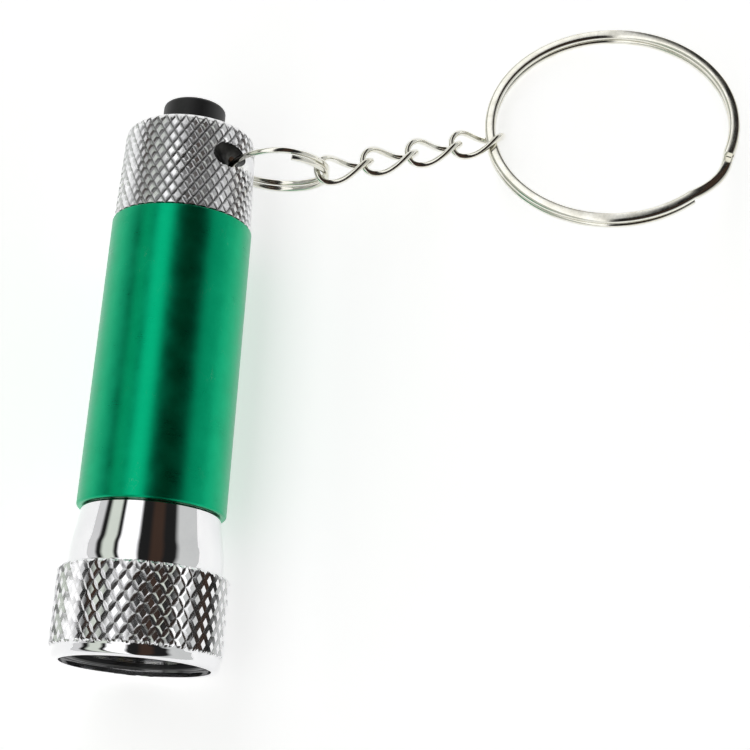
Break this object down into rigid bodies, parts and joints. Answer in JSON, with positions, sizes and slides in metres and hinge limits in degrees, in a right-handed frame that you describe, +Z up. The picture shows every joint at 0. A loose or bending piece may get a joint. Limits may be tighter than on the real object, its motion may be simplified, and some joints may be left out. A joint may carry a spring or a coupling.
{
  "type": "keychain flashlight",
  "caption": "Small push-button LED torch with an anodised barrel, knurled head and tail cap, and a split ring, curb chain and key ring.",
  "frame": {"origin": "middle of the whole object's box, on the surface that it lies on", "axes": "+Y along the torch towards its tail, +X from the torch to the key ring, +Z up"},
  "size_m": [0.0656, 0.074, 0.0167],
  "materials": {
    "anodised_green": "bright anodised, lightly scratched",
    "bright_aluminium": "diamond knurl and mirror polish",
    "nickel_wire": "nickel plated",
    "button_plastic": "satin black",
    "black_plastic": "satin black",
    "black_rubber": "matt black",
    "clear_lens": "clear polished",
    "reflector_plastic": "metallised plastic",
    "led_plastic": "clear epoxy over yellow phosphor",
    "circuit_board": "green solder mask",
    "spring_steel": "drawn wire",
    "brass": "turned",
    "cell_steel": "pressed can",
    "sleeve_card": "wound card"
  },
  "bodies": {
    "flashlight_body": {"head_shell": "bright_aluminium", "lens_retaining_ring": "black_plastic", "lens": "clear_lens", "lens_gasket": "black_rubber", "led_holder": "reflector_plastic", "led_1": "led_plastic", "led_2": "led_plastic", "led_3": "led_plastic", "led_4": "led_plastic", "led_5": "led_plastic", "led_board": "circuit_board", "board_contact_spring": "spring_steel", "barrel_tube": "anodised_green", "cell_sleeve": "sleeve_card", "cell_1": "cell_steel", "cell_2": "cell_steel", "cell_3": "cell_steel", "cell_4": "cell_steel"},
    "cap_seal": {"tail_seal_ring": "black_rubber"},
    "tail_cap": {"tail_cap_shell": "bright_aluminium", "switch_housing": "black_plastic", "switch_retainer": "brass", "tail_contact_spring": "spring_steel", "button_spring": "spring_steel"},
    "push_button": {"button": "button_plastic", "contact_plunger": "brass"},
    "split_ring": {"small_split_ring": "nickel_wire"},
    "link_1": {"chain_link_1": "nickel_wire"},
    "link_2": {"chain_link_2": "nickel_wire"},
    "link_3": {"chain_link_3": "nickel_wire"},
    "link_4": {"chain_link_4": "nickel_wire"},
    "key_ring": {"key_ring": "nickel_wire"}
  },
  "joints": [
    {"name": "cap_advance", "type": "slide", "parent": "flashlight_body", "child": "cap_seal", "axis": [0, 1, 0], "range_m": [0, 0.0038]},
    {"name": "cap_turn", "type": "hinge", "parent": "cap_seal", "child": "tail_cap", "pos_m": [-0.02441, 0.01, 0.00835], "axis": [0, 1, 0], "range_deg": [0, 1800]},
    {"name": "button_press", "type": "slide", "parent": "tail_cap", "child": "push_button", "axis": [0, -1, 0], "range_m": [0, 0.0012], "stiffness_N_per_m": 500, "deforming": ["button_spring"]},
    {"name": "split_ring_swing", "type": "hinge", "parent": "tail_cap", "child": "split_ring", "pos_m": [-0.01933, 0.01428, 0.00906], "axis": [-0.139, -0.0523, 0.9889], "range_deg": [-35, 35]},
    {"name": "link_1_tilt", "type": "hinge", "parent": "split_ring", "child": "link_1", "pos_m": [-0.01015, 0.01429, 0.01018], "axis": [-0.3399, 0.9197, 0.1968], "range_deg": [-20, 15]},
    {"name": "link_2_swing", "type": "hinge", "parent": "link_1", "child": "link_2", "pos_m": [-0.00616, 0.01609, 0.00869], "axis": [0.3728, -0.0604, 0.926], "range_deg": [-20, 20]},
    {"name": "link_3_tilt", "type": "hinge", "parent": "link_2", "child": "link_3", "pos_m": [-0.00161, 0.01813, 0.00699], "axis": [-0.3399, 0.9197, 0.1968], "range_deg": [-20, 20]},
    {"name": "link_4_swing", "type": "hinge", "parent": "link_3", "child": "link_4", "pos_m": [0.00294, 0.02018, 0.00529], "axis": [0.3728, -0.0604, 0.926], "range_deg": [-20, 20]},
    {"name": "key_ring_tilt", "type": "hinge", "parent": "link_4", "child": "key_ring", "pos_m": [0.00673, 0.02188, 0.00388], "axis": [-0.3399, 0.9197, 0.1968], "range_deg": [-25, 12]}
  ],
  "couplings": [
    {"joint": "cap_advance", "follows": "cap_turn", "m_per_rad": 0.00011937}
  ]
}
